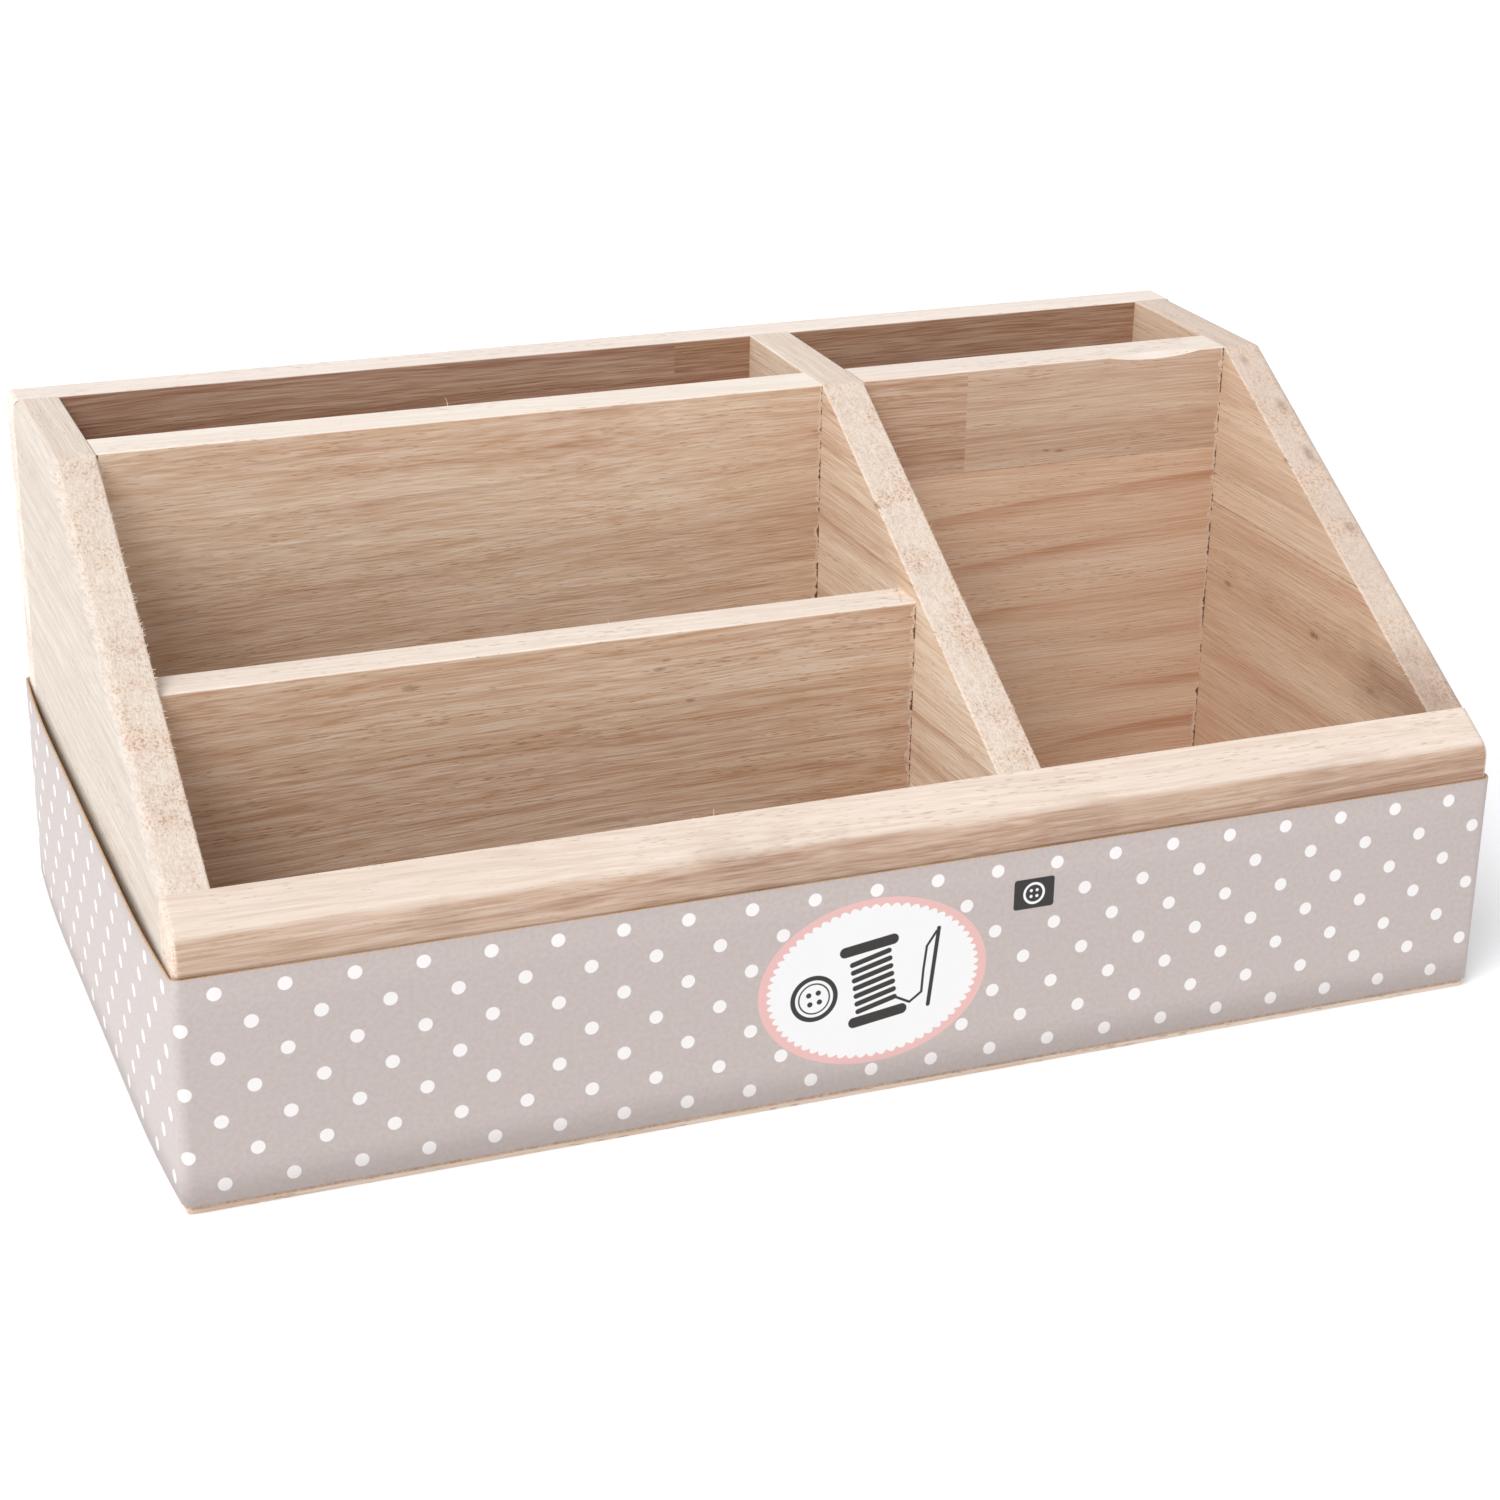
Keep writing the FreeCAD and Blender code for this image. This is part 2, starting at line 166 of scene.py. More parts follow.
distant_light("high_left_softbox", (-0.75, -0.45, 1.05), 34, 2.20, "#fdfcff")
distant_light("low_left_softbox", (-1.0, 0.05, 0.30), 60, 1.12, "#ecf8fa")
distant_light("front_fill", (0.30, -1.00, 0.50), 60, 0.25, "#fffaf4")

# %% Table
TABLE_RADIUS = 3000.0
TABLE_GAP = 0.02
table_mesh = bmesh.new()
bmesh.ops.create_circle(table_mesh, cap_ends=True, segments=96, radius=TABLE_RADIUS * MM)
bmesh.ops.translate(table_mesh, verts=table_mesh.verts, vec=(0, 0, -TABLE_GAP * MM))
table_data = bpy.data.meshes.new("white_table")
table_mesh.to_mesh(table_data)
table_mesh.free()
table = bpy.data.objects.new("white_table", table_data)
scene.collection.objects.link(table)

table_paint, tree = new_material("matt_white_laminate")
place = add(tree, "TexCoord").outputs["Object"]
mottle = add(tree, "TexNoise", Vector=place, Scale=9.0, Detail=3.0)
white = add(tree, "Mix", mottle, paint("#f1f1f2"), paint("#f5f5f5"), data_type="RGBA")
matt = add(tree, "BsdfPrincipled", Base_Color=white, Roughness=0.85, IOR=1.45, Emission_Color=white,
           Emission_Strength=0.15)
add(tree, "OutputMaterial", Surface=matt)
table_data.materials.append(table_paint)
print("table radius in mm:", round(table.dimensions.x / 2 / MM))


# %% [markdown]
# ## Sawn paulownia
# Paulownia is a light, fast-grown wood: wide growth rings with a thin reddish late band, long
# open vessels that look like dashes on a face and like dots on a cut end, and a dry, unfinished
# surface. An image would slide over the edges, so the wood is worked out as a solid: the pattern
# is a log, and each board is a piece sawn out of it. Faces, edges and sloping cuts then agree.
# The log's own axes are x along the grain and y, z across it, with its heart at y = z = 0.

# %% The log: growth rings, streaks and vessels
def stretched_noise(tree, axes, along, across, detail):
    """Noise whose blobs are so many millimetres long and wide."""
    squeeze = (1 / (along * MM), 1 / (across * MM), 1 / (across * MM))
    squeezed = add(tree, "VectorMath", axes, squeeze, operation="MULTIPLY")
    return add(tree, "TexNoise", Vector=squeezed, Scale=1.0, Detail=detail)


def wander(tree, axes, along, across, reach):
    """Bend the grain sideways in waves of a length and width. Reach is in millimetres."""
    wave = stretched_noise(tree, axes, along, across, 2.0).outputs["Color"]
    centred = add(tree, "VectorMath", wave, (0.5, 0.5, 0.5), operation="SUBTRACT")
    sideways = (0.0, 2 * reach * MM, 2 * reach * MM)
    push = add(tree, "VectorMath", centred, sideways, operation="MULTIPLY")
    return add(tree, "VectorMath", axes, push, operation="ADD")


LONG_WAVE, SHORT_WAVE = (170, 38), (60, 14)
RIPPLE = 0.7


def log_axes(tree, grain, heart, lean, sway):
    """Object coordinates turned so that x runs along the grain, measured from the log's heart.
    Heart and sway are in millimetres, and lean tips the log in degrees."""
    place = add(tree, "TexCoord").outputs["Object"]
    turn = 0.0 if grain == "X" else math.radians(-90)
    tipped = (0.0, math.radians(lean[0]), turn + math.radians(lean[1]))
    straight = add(tree, "Mapping", place, Vector(heart) * -MM, tipped)
    return wander(tree, wander(tree, straight, *LONG_WAVE, sway), *SHORT_WAVE, RIPPLE)


def growth_rings(tree, axes, ring, taper):
    """How far each point is into its year's growth, 0 at the start and 1 at the late wood's end.
    A log that tapers fast draws its rings out into arches on a sawn face."""
    shaped = add(tree, "VectorMath", axes, (taper, 1.0, 1.0), operation="MULTIPLY")
    radius = add(tree, "VectorMath", shaped, operation="LENGTH")
    years = add(tree, "Math", radius, 1 / (ring * MM), operation="MULTIPLY")
    return add(tree, "Math", years, operation="FRACT")


def late_bands(tree, axes, year):
    """Thin late-wood bands that rise slowly and stop short, and fade here and there."""
    rise = add(tree, "MapRange", year, 0.60, 0.94, 0.0, 1.0, interpolation_type="SMOOTHSTEP")
    stop = add(tree, "MapRange", year, 0.94, 1.0, 1.0, 0.0, interpolation_type="SMOOTHSTEP")
    band = add(tree, "Math", rise, stop, operation="MULTIPLY")
    patchy = stretched_noise(tree, axes, 70, 8, 2.0)
    kept = add(tree, "MapRange", patchy, 0.36, 0.64, 0.1, 1.0, interpolation_type="SMOOTHSTEP")
    return add(tree, "Math", band, kept, operation="MULTIPLY")


VESSEL_CELL = (5.0, 0.55)


def vessels(tree, axes, year):
    """Open vessels, about 0.3 mm across and 3 mm long, thickest in the early wood."""
    length, spacing = VESSEL_CELL
    squeeze = (1 / (length * MM), 1 / (spacing * MM), 1 / (spacing * MM))
    cells = add(tree, "VectorMath", axes, squeeze, operation="MULTIPLY")
    nearest = add(tree, "TexVoronoi", Vector=cells, Scale=1.0)
    early = add(tree, "MapRange", year, 0.05, 0.55, 0.34, 0.22)
    patch = stretched_noise(tree, axes, 45, 7, 2.0)
    spread = add(tree, "MapRange", patch, 0.35, 0.65, 0.55, 1.1)
    size = add(tree, "Math", early, spread, operation="MULTIPLY")
    rim = add(tree, "Math", size, 0.12, operation="SUBTRACT")
    return add(tree, "MapRange", nearest.outputs["Distance"], rim, size, 1.0, 0.0,
               interpolation_type="SMOOTHSTEP")


print("log helpers ready")


# %% [markdown]
# ## Joints, torn ends and knots
# The cross dividers were sawn roughly to length, so their ends are torn: a dark ragged line with
# pale fibres beside it, where they meet the next board. The staves' glue lines are straight and
# thin. A few small knots and smudges sit where the real boards have them.

# %% Lines and marks on a board
TOOTH = 2.6


def edge_line(tree, axis, position, width, ragged):
    """A dark line where a board ends at a position along an axis. All lengths are in millimetres,
    and ragged is how much its width changes along the line."""
    place = add(tree, "TexCoord").outputs["Object"]
    along = add(tree, "VectorMath", place, Vector(axis) / MM, operation="DOT_PRODUCT")
    past = add(tree, "Math", along, position, operation="SUBTRACT")
    gap = add(tree, "Math", past, operation="ABSOLUTE")
    teeth = add(tree, "TexNoise", Vector=place, Scale=1 / (TOOTH * MM), Detail=4.0, Roughness=0.7)
    reach = add(tree, "MapRange", teeth, 0.38, 0.70, width - ragged, width + ragged)
    inner = add(tree, "Math", reach, 0.3, operation="SUBTRACT")
    return add(tree, "MapRange", gap, inner, reach, 1.0, 0.0, interpolation_type="SMOOTHSTEP")


def knot(tree, grain, centre, reach):
    """A small dark spot round a point, three times as long along the grain as across it."""
    place = add(tree, "TexCoord").outputs["Object"]
    off = add(tree, "VectorMath", place, Vector(centre) * MM, operation="SUBTRACT")
    across = 1 / (reach * MM)
    shape = (across / 3, across, across) if grain == "X" else (across, across / 3, across)
    squeezed = add(tree, "VectorMath", off, shape, operation="MULTIPLY")
    radius = add(tree, "VectorMath", squeezed, operation="LENGTH").outputs["Value"]
    frayed = add(tree, "TexNoise", Vector=place, Scale=1.5 * across, Detail=3.0)
    edge = add(tree, "Math", radius, frayed, operation="ADD")
    return add(tree, "MapRange", edge, 0.65, 1.45, 1.0, 0.0, interpolation_type="SMOOTHSTEP")


print("line and knot helpers ready")


# %% [markdown]
# ## From log to board
# The faces of the real boards were planed, the tops and slopes were sanded after glueing. Sanding
# fills the cut fibres with pale dust, and the same pale, greyed colour is also a painted highlight
# for the washed-out look of the brightly lit tops and outsides, so these are lighter than the
# inside faces. A cut across the grain also turns speckled. Both follow which way a face looks, so
# the shader compares the face's direction with up and with the grain.

# %% One board's wood
BROAD_BAND = (190, 12)  # Lengths and widths of the wood's marks, in millimetres.
ROSY_PATCH = (70, 16)
COMBED_LINE = (140, 1.25)
FIBRE = (13, 0.45)
SPECK, SPECK_PATCH = 0.7, 9
GLUE_LINE = (0.30, 0.08, "#a37f66")  # Half a line's width, how ragged it is, and its colour.
PALE_TEAR = (1.05, 0.9, "#dcc6b0")
DARK_TEAR = (0.42, 0.5, "#6f4a33")


def sawn_paulownia(name, grain="X", heart=(0, 0, -150), lean=(0, 0), ring=12.0, taper=0.0, sway=4.0,
                   pale="#d2bca4", tan="#bfa38a", late="#a87d64", lines=0.45, streaks=0.13,
                   pores=0.35, dust_highlight_colour="#e2d8cc", outer_dust_highlight_colour="#cbc0b5", dust_highlight_strength=0.8, dust_highlight_from=0.3,
                   outside=None, ends=(), joints=(), knots=()):
    """Planed and sandpapered bare paulownia. Pale, tan and late are its colours, lines, streaks and
    pores say how strong each mark is, and a face turns pale where it looks up more than
    dust_highlight_from. That pale colour is partly powder from sandpapering and partly a painted
    highlight, the washed-out look of brightly lit tops. Outside is the direction of one more pale
    face, painted the same two ways. Ends are places along X of torn ends, joints are pairs of an
    axis and a place, and knots hold x, y, z, reach and darkness. Lengths are in millimetres."""
    material, tree = new_material(name)
    axes = log_axes(tree, grain, heart, lean, sway)
    year = growth_rings(tree, axes, ring, taper)

    # Broad, low-contrast bands of pale and tan wood, with the reddish late bands over them.
    broad = stretched_noise(tree, axes, *BROAD_BAND, 2.0)
    shade = add(tree, "MapRange", broad, 0.34, 0.66, 0.1, 0.9, interpolation_type="SMOOTHSTEP")
    body = add(tree, "Mix", shade, paint(pale), paint(tan), data_type="RGBA")
    rosy = stretched_noise(tree, axes, *ROSY_PATCH, 2.0)
    rosy = add(tree, "MapRange", rosy, 0.45, 0.7, 0.0, 0.25)
    body = add(tree, "Mix", rosy, body, paint("#caa994"), data_type="RGBA")
    band = add(tree, "Math", late_bands(tree, axes, year), lines, operation="MULTIPLY")
    figured = add(tree, "Mix", band, body, paint(late), data_type="RGBA")

    # Tops, slopes and cut ends take a pale colour: partly sanding dust, partly a painted highlight
    # for the washed-out, brightly lit tops.
    facing = add(tree, "NewGeometry").outputs["Normal"]
    up = add(tree, "VectorMath", facing, (0, 0, 1), operation="DOT_PRODUCT")
    along = (1, 0, 0) if grain == "X" else (0, 1, 0)
    cut = add(tree, "VectorMath", facing, along, operation="DOT_PRODUCT")
    cut = add(tree, "Math", cut, operation="ABSOLUTE")
    cut_across = add(tree, "MapRange", cut, 0.25, 0.5, 0.0, 1.0)
    dusted_and_lit = add(tree, "MapRange", up, dust_highlight_from, dust_highlight_from + 0.3, 0.0, dust_highlight_strength)
    dusted_and_lit = add(tree, "Math", dusted_and_lit, add(tree, "Math", cut_across, dust_highlight_strength, operation="MULTIPLY"),
                 operation="MAXIMUM")
    dust_and_highlight = add(tree, "Mix", dusted_and_lit, figured, paint(dust_highlight_colour), data_type="RGBA")
    # Outsides take a paler, greyer colour too: partly sanding dust, partly a painted highlight for
    # the brightly lit left side.
    if outside:
        outward = add(tree, "VectorMath", facing, outside, operation="DOT_PRODUCT")
        outer = add(tree, "MapRange", outward, 0.3, 0.7, 0.0, dust_highlight_strength)
        dust_and_highlight = add(tree, "Mix", outer, dust_and_highlight, paint(outer_dust_highlight_colour), data_type="RGBA")
        dusted_and_lit = add(tree, "Math", dusted_and_lit, outer, operation="MAXIMUM")

    # Specks of cut vessels, gathered in patches, where the saw crossed the grain.
    place = add(tree, "TexCoord").outputs["Object"]
    specks = add(tree, "TexNoise", Vector=place, Scale=1 / (SPECK * MM), Detail=1.0)
    patches = add(tree, "TexNoise", Vector=place, Scale=1 / (SPECK_PATCH * MM), Detail=3.0)
    speckled = add(tree, "Math", add(tree, "MapRange", specks, 0.53, 0.62, 0.0, 0.62),
                   add(tree, "MapRange", patches, 0.42, 0.64, 0.25, 1.0), operation="MULTIPLY")
    flushed = add(tree, "Math", add(tree, "MapRange", patches, 0.46, 0.70, 0.0, 0.42), cut_across,
                  operation="MULTIPLY")
    crossed = add(tree, "Mix", flushed, dust_and_highlight, paint("#ccb09a"), data_type="RGBA")
    speckled = add(tree, "Math", speckled, cut_across, operation="MULTIPLY")
    crossed = add(tree, "Mix", speckled, crossed, paint("#ad8a6f"), data_type="RGBA")

    for x, y, z, reach, darkness in knots:
        spot = knot(tree, grain, (x, y, z), reach)
        spot = add(tree, "Math", spot, darkness, operation="MULTIPLY")
        crossed = add(tree, "Mix", spot, crossed, paint("#83624e"), data_type="RGBA")

    fine = stretched_noise(tree, axes, *FIBRE, 1.0)
    combed = stretched_noise(tree, axes, *COMBED_LINE, 1.0)
    strong, weak = 1.2 * streaks, 0.75 * streaks
    tone = add(tree, "Math", add(tree, "MapRange", fine, 0.32, 0.68, 1 - strong, 1 + strong),
               add(tree, "MapRange", combed, 0.40, 0.60, 1 - weak, 1 + weak), operation="MULTIPLY")
    # The streaks are weaker on the pale faces, part of the same painted highlight.
    softened = add(tree, "Math", dusted_and_lit, 0.3, operation="MULTIPLY")
    tone = add(tree, "Mix", softened, tone, 1.0)
    # A power darkens a streak and browns it at once, where a product would only grey it.
    streaked = add(tree, "Gamma", crossed, add(tree, "Math", 1.0, tone, operation="DIVIDE"))

    open_pores = vessels(tree, axes, year)
    pore_depth = add(tree, "Math", open_pores, pores, operation="MULTIPLY")
    grainy = add(tree, "Mix", pore_depth, streaked, paint("#8a6247"), data_type="RGBA")
    lines_drawn = [(axis, position, *GLUE_LINE) for axis, position in joints]
    lines_drawn += [((1, 0, 0), end, *tear) for tear in (PALE_TEAR, DARK_TEAR) for end in ends]
    neither_dusted_nor_lit = add(tree, "MapRange", dusted_and_lit, 0.1, 0.4, 1.0, 0.0)
    for axis, position, width, ragged, colour in lines_drawn:
        line = edge_line(tree, axis, position, width, ragged)
        line = add(tree, "Math", line, neither_dusted_nor_lit, operation="MULTIPLY")
        grainy = add(tree, "Mix", line, grainy, paint(colour), data_type="RGBA")

    relief = add(tree, "Math", fine, add(tree, "Math", open_pores, 0.3, operation="MULTIPLY"),
                 operation="SUBTRACT")
    bump = add(tree, "Bump", Strength=0.55, Distance=0.22 * MM, Height=relief)
    rough = add(tree, "MapRange", fine, 0.3, 0.7, 0.72, 0.86)
    wood = add(tree, "BsdfPrincipled", Base_Color=grainy, Roughness=rough, IOR=1.5, Normal=bump)
    add(tree, "OutputMaterial", Surface=wood)
    return material


def dress(node, material):
    """Give a CAD node its material in place of the plain one."""
    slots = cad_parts[node].data.materials
    slots.clear()
    slots.append(material)


# %% Wood for each board
LEFT_ENDS, RIGHT_ENDS = (-139.5, 31.5), (42.0, 139.5)
END_JOINT, DIVIDER_JOINT = ((0, 0, 1), 85.0), ((0, 0, 1), 99.5)
# In each board, the pale colour of its tops and outsides is partly sanding dust and partly a
# painted highlight.
BOARDS = {
    "front_board": dict(
        heart=(60, -60, -40), lean=(1.0, 2.0), ring=8.0, taper=0.15, lines=0.6, pores=0.3,
        pale="#c0a792", tan="#a98a74", late="#96705a", dust_highlight_colour="#dfd0c1", dust_highlight_strength=0.75, dust_highlight_from=0.5,
        knots=((-25, -85, 56, 12.0, 0.28), (45, -84.5, 56, 9.0, 0.2), (-95, -84.5, 57, 5.0, 0.2),
               (110, -85, 57, 8.0, 0.2))),
    "back_lower_stave": dict(
        heart=(0, 20, -170), lean=(1.0, 0), ring=10.0, outside=(0, 1, 0),
        pale="#b9967c", tan="#a27d64", dust_highlight_colour="#eae0d6"),
    "back_upper_left_stave": dict(
        heart=(0, 30, -90), ring=11.0, outside=(0, 1, 0),
        pale="#b8967d", tan="#a4806a", dust_highlight_colour="#eae0d6"),
    "back_upper_right_stave": dict(
        heart=(0, 10, -60), ring=8.0, outside=(0, 1, 0),
        pale="#b08b70", tan="#a07b60", dust_highlight_colour="#eae0d6"),
    "left_end": dict(
        grain="Y", heart=(0, 200, -60), lean=(1.0, 1.0), ring=14.0, lines=0.3, outside=(-1, 0, 0),
        dust_highlight_colour="#d4c8bb", outer_dust_highlight_colour="#c3b9af"),
    "right_end_lower_stave": dict(
        grain="Y", heart=(0, -90, -140), lean=(-4, 0), ring=17.0, lines=0.36, streaks=0.08,
        outside=(1, 0, 0), joints=(END_JOINT,),
        pale="#cdb298", tan="#c2a084", late="#ae7656", dust_highlight_colour="#cdbfb1",
        knots=((139.5, 16.8, 66.2, 1.0, 0.6), (139.5, -24.8, 67.0, 1.2, 0.8),
               (139.5, -51.1, 62.6, 1.2, 0.5), (139.5, -72.0, 66.0, 17.0, 0.55))),
    "right_end_upper_stave": dict(
        grain="Y", heart=(0, -100, 300), ring=16.0, lines=0.3, streaks=0.08,
        outside=(1, 0, 0), joints=(END_JOINT,), pale="#d0b69d", tan="#c9ac92", dust_highlight_colour="#c8b8ab",
        knots=((139.5, -5.7, 105.3, 0.8, 0.6), (139.5, -9.0, 104.8, 0.7, 0.5),
               (146, 9.0, 114.3, 2.2, 0.45), (146, -5.0, 106.2, 2.4, 0.5),
               (146, -26.0, 94.1, 2.2, 0.45), (143, 23.0, 122.4, 1.8, 0.35))),
    "centre_divider": dict(
        grain="Y", heart=(0, -80, -120), lean=(3, 0), ring=9.0,
        pale="#d9c3ab", tan="#c9ae94", dust_highlight_colour="#d2c4b6",
        knots=((31.5, -6.4, 105.4, 0.9, 0.8), (31.5, -39.4, 87.6, 0.9, 0.7))),
    "rear_left_divider": dict(
        heart=(0, 90, -70), lean=(1.5, 3.0), ring=5.5, taper=0.22, lines=0.35, ends=LEFT_ENDS,
        pale="#dcc3a9", tan="#c8a78b", dust_highlight_colour="#e6ddd2"),
    "middle_divider": dict(
        heart=(0, -150, -60), lean=(1.0, 2.0), ring=5.0, lines=0.35, streaks=0.15, pores=0.5,
        ends=LEFT_ENDS, pale="#d4b99f", tan="#c5a386",
        knots=((-29.9, -29.5, 81.6, 0.7, 0.6), (-28.2, -29.5, 83.6, 0.6, 0.5),
               (-22.5, -29.5, 73.4, 0.6, 0.6), (-85.8, -29.5, 84.6, 1.1, 0.6))),
    "rear_right_lower_stave": dict(
        heart=(150, 0, -60), ring=13.0, taper=0.45, lines=0.55, streaks=0.09, ends=RIGHT_ENDS,
        joints=(DIVIDER_JOINT,), pale="#e2c9b0", tan="#d4b295", late="#b27852"),
    "rear_right_upper_left_stave": dict(
        heart=(0, 0, 300), ring=10.0, streaks=0.15, ends=RIGHT_ENDS,
        pale="#c6a58b", tan="#b8957b", dust_highlight_colour="#e2d7cc"),
    "rear_right_upper_right_stave": dict(
        heart=(0, 60, 20), ring=12.0, lines=0.3, streaks=0.1, ends=RIGHT_ENDS,
        pale="#cdb299", tan="#c0a086", dust_highlight_colour="#e2d7cc",
        knots=((95.1, 27.5, 102.5, 0.6, 0.6), (91.6, 27.5, 102.9, 0.5, 0.5))),
}
for node, look in BOARDS.items():
    dress(node, sawn_paulownia(f"sawn_paulownia_{node}", **look))

PLIES = {
    "lower": dict(heart=(0, 40, 90), pale="#e0d2c4", tan="#cdb9a6", outside=(0, 0, -1)),
    "core": dict(heart=(0, 30, 60), pale="#a98b75", tan="#8f705b", grain="Y"),
    "upper": dict(heart=(0, 10, 70), pale="#dcccbc", tan="#c8b29d"),
}
for ply, look in PLIES.items():
    veneer = sawn_paulownia(f"rotary_cut_veneer_{ply}", ring=22.0, lines=0.25, pores=0.5,
                            dust_highlight_strength=0.3, **look)
    dress(f"bottom_ply_{ply}", veneer)
print("boards dressed:", len(BOARDS), "and veneers:", len(PLIES))


# %% [markdown]
# ## Raised fibres
# Sanding this soft wood across its grain leaves small fibres standing along the arrises, and the
# middle divider's end has torn out in a tuft. One fibre is modelled, as a thin cone cut
# into four lengths. It is copied, stretched and bent for each place, and all ride with the case.

# %% Fibres along the arrises
SLOPE = math.tan(math.radians(30))
TOP, MIDDLE_TOP, RAIL_TOP = 124.8, 89.8, 65.9
SLOPE_STARTS = 27.5
LEFT_WALL, RIGHT_WALL = -139.7, 139.7
CENTRE_LEFT, CENTRE_RIGHT = 31.7, 41.8
chance = random.Random(11)
model = bmesh.new()
bmesh.ops.create_cone(model, cap_ends=True, segments=5, radius1=0.5, radius2=0.12, depth=1.0,
                      matrix=Matrix.Translation((0, 0, 0.5)))
bmesh.ops.subdivide_edges(model, edges=[e for e in model.edges if e.calc_length() > 0.9], cuts=3)
for face in model.faces:
    face.smooth = True
one_fibre = bpy.data.meshes.new("one_fibre")
model.to_mesh(one_fibre)
model.free()
fibres = bmesh.new()


def fibre(root, away, length, thickness):
    """A copy of the fibre that leans away from its root, and bends. Lengths are in millimetres."""
    fibres.from_mesh(one_fibre)
    fibres.verts.ensure_lookup_table()
    lean = Vector(away).normalized()
    turn = lean.to_track_quat("Z", "Y").to_matrix()
    curl = 0.5 * lean.cross(Vector([chance.uniform(-1, 1) for _ in range(3)]))
    rooted = Vector(root) - 0.2 * lean
    for vert in fibres.verts[-len(one_fibre.vertices):]:
        height = vert.co.z
        stretched = Vector((vert.co.x * thickness, vert.co.y * thickness, height * length))
        vert.co = (rooted + turn @ stretched + curl * length * height**2) * MM


def frayed_arris(start, end, away, count, longest):
    """Fibres at random along a line from start to end, all leaning roughly away from it."""
    for _ in range(count):
        root = Vector(start).lerp(Vector(end), chance.random())
        lean = Vector(away) + Vector([chance.uniform(-0.6, 0.6) for _ in range(3)])
        length = longest * chance.uniform(0.35, 1.0) ** 1.5 + 0.25
        fibre(root, lean, length, chance.uniform(0.16, 0.34))


def on_slope(x, y):
    """The point of a sloping top at x and y, in millimetres."""
    return (x, y, TOP - max(SLOPE_STARTS - y, 0.0) * SLOPE)


# Each row: the board's face, the arris from one y to another, a lean, a count and a length.
for x, start, end, away, count, longest in (
        (LEFT_WALL, 14, -46, (0.8, -0.2, 0.2), 90, 0.9),
        (LEFT_WALL, -46, -72, (0.8, -0.2, 0.2), 20, 0.6),
        (CENTRE_RIGHT, 8, -66, (0.8, -0.2, 0.2), 80, 0.6),
        (CENTRE_LEFT, 0, -12, (-0.8, -0.2, 0.2), 14, 0.9),
        (CENTRE_LEFT, -36, -44, (-0.8, -0.2, 0.2), 10, 0.8),
        (RIGHT_WALL, 14, -22, (-0.8, -0.3, 0.2), 40, 0.9),
        (RIGHT_WALL, -58, -73, (-0.8, -0.3, 0.2), 30, 1.1)):
    frayed_arris(on_slope(x, start), on_slope(x, end), away, count, longest)

# The rail's inner arris, the torn tuft at the middle divider's end, and a few fibres beside it.
frayed_arris((-120, -74.7, RAIL_TOP), (-60, -74.7, RAIL_TOP), (0, 0.8, 0.3), 36, 0.5)
frayed_arris((-60, -74.7, RAIL_TOP), (138, -74.7, RAIL_TOP), (0, 0.8, 0.3), 60, 0.45)
frayed_arris((28.5, -28.5, MIDDLE_TOP), (31.2, -20, MIDDLE_TOP), (-0.7, -0.2, 0.5), 22, 1.9)
frayed_arris((-72, -29.3, MIDDLE_TOP), (-66, -29.3, MIDDLE_TOP), (0.4, -0.8, 0.4), 6, 1.0)

# Four hairs that stand alone.
for root, length in (((-57, 38.8, TOP), 2.2), ((-34, -74.6, RAIL_TOP), 1.9),
                     ((-22, 38.8, TOP), 0.9), ((-38, -19.2, MIDDLE_TOP), 1.2)):
    fibre(root, (0.2, 0.3, 1.0), length, 0.26)
bpy.data.meshes.remove(one_fibre)
fibre_mesh = bpy.data.meshes.new("raised_fibres")
fibres.to_mesh(fibre_mesh)
print("fibre triangles:", sum(len(face.verts) - 2 for face in fibres.faces))
fibres.free()
raised = bpy.data.objects.new("raised_fibres", fibre_mesh)
scene.collection.objects.link(raised)
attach(raised, "case")

# %% Torn paulownia fibres
torn, tree = new_material("torn_paulownia_fibres")
place = add(tree, "TexCoord").outputs["Object"]
uneven = add(tree, "TexNoise", Vector=place, Scale=1 / (2.5 * MM), Detail=2.0)
uneven = add(tree, "MapRange", uneven, 0.35, 0.65)
fibre_tone = add(tree, "Mix", uneven, paint("#c9ad93"), paint("#e6d8c7"), data_type="RGBA")
dry = add(tree, "BsdfPrincipled", Base_Color=fibre_tone, Roughness=0.8, IOR=1.5)
add(tree, "OutputMaterial", Surface=dry)
fibre_mesh.materials.append(torn)
print("fibres ride with the case")


# %% [markdown]
# ## Drawn steel brads
# The brads that hold the boards are drawn steel wire with a thin zinc coat. Zinc takes a dull,
# slightly blotchy grey, so the metal's colour and roughness wander a little together.

# %% Zinc-coated steel
zinc, tree = new_material("zinc_coated_steel_wire")
place = add(tree, "TexCoord").outputs["Object"]
spangle = add(tree, "TexNoise", Vector=place, Scale=1500.0, Detail=2.0)
dull = add(tree, "MapRange", spangle, 0.35, 0.65, 0.32, 0.55)
grey = add(tree, "Mix", spangle, paint("#8f9092"), paint("#b4b4b2"), data_type="RGBA")
wire = add(tree, "BsdfPrincipled", Base_Color=grey, Metallic=1.0, Roughness=dull)
add(tree, "OutputMaterial", Surface=wire)
for node in ("bottom_brads", "front_brads", "back_brads"):
    dress(node, zinc)
print("brad groups dressed: 3")


# %% [markdown]
# ## The card sleeve
# The sleeve is one strip of card folded round the box at four corners, with a glue flap tucked
# under its free end at the back. Its ends are a little too long, so they bow outwards.
# The CAD sleeve has that shape, but its print would have to be worked out again on every side.
# A strip that is folded here as it was in the shop keeps the distance along itself, and that
# distance becomes the print's own map. One upright edge is walked and turned round the box.

